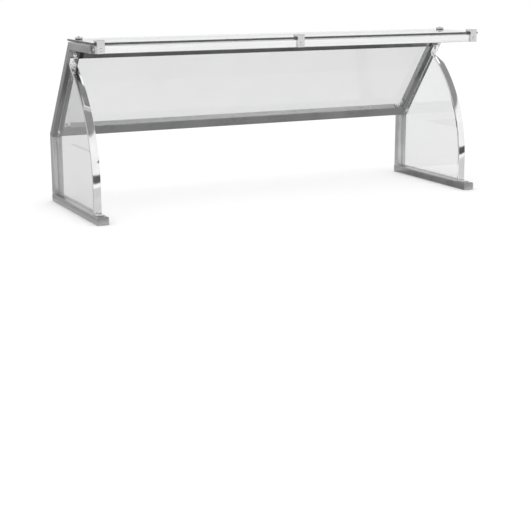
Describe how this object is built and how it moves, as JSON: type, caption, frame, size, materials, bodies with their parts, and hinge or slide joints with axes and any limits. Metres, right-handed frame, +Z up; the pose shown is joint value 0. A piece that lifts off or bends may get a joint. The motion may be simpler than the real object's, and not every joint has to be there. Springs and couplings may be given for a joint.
{
  "type": "sneeze guard",
  "caption": "Counter-top sneeze guard: steel tube side frames with arc bars, a sloping customer pane, glass ends and a flat glass shelf held by clamps.",
  "frame": {"origin": "centre of the four counter bolts, on the underside of the two base rails", "axes": "+X along the counter, to the operator's right; +Y towards the customer; +Z up"},
  "size_m": [1.4, 0.474, 0.562],
  "materials": {
    "brushed_tube": "satin, grain along the tube",
    "front_rail": "fine satin, grain along the tube",
    "end_plate": "satin",
    "polished_bar": "mirror polished",
    "pane": "clear toughened float glass",
    "end_pane": "clear toughened float glass",
    "clear_seal": "translucent silicone",
    "bracket": "satin",
    "black_connector": "moulded black nylon",
    "glazing_tape": "grey foam tape",
    "clamp": "polished, slightly worn",
    "clamp_pad": "soft black rubber",
    "screw": "polished",
    "dome_bolt": "polished",
    "washer": "nylon",
    "weld_nut": "plain steel"
  },
  "bodies": {
    "root": {"left_base_rail": "brushed_tube", "right_base_rail": "brushed_tube", "left_rail_front_cap": "end_plate", "right_rail_front_cap": "end_plate", "left_rail_rear_cap": "end_plate", "right_rail_rear_cap": "end_plate", "left_post": "brushed_tube", "right_post": "brushed_tube", "left_sloping_arm": "brushed_tube", "right_sloping_arm": "brushed_tube", "left_top_arm": "brushed_tube", "right_top_arm": "brushed_tube", "left_arc_bar": "polished_bar", "right_arc_bar": "polished_bar", "left_end_glass": "end_pane", "right_end_glass": "end_pane", "left_end_seal": "clear_seal", "right_end_seal": "clear_seal", "left_corner_bracket": "bracket", "right_corner_bracket": "bracket", "lower_cross_rail": "brushed_tube", "upper_cross_rail": "brushed_tube", "front_rail": "front_rail", "upper_rail_left_connector": "black_connector", "upper_rail_right_connector": "black_connector", "front_rail_left_cap": "end_plate", "front_rail_right_cap": "end_plate", "sloping_glass": "pane", "shelf_glass": "pane", "left_glass_tape": "glazing_tape", "right_glass_tape": "glazing_tape", "lower_glass_tape": "glazing_tape", "upper_glass_tape": "glazing_tape", "front_left_clamp": "clamp", "front_middle_clamp": "clamp", "front_right_clamp": "clamp", "rear_left_clamp": "clamp", "rear_right_clamp": "clamp", "upper_clamp_pads": "clamp_pad", "lower_clamp_pads": "clamp_pad", "front_clamp_screws": "screw", "rear_clamp_screws": "screw", "clamp_grub_screws": "screw", "glass_bolts": "dome_bolt", "dome_nuts": "dome_bolt", "bolt_washers": "washer", "arc_screws": "screw", "bracket_screws": "screw", "end_cap_screws": "screw", "counter_weld_nuts": "weld_nut"}
  },
  "joints": []
}
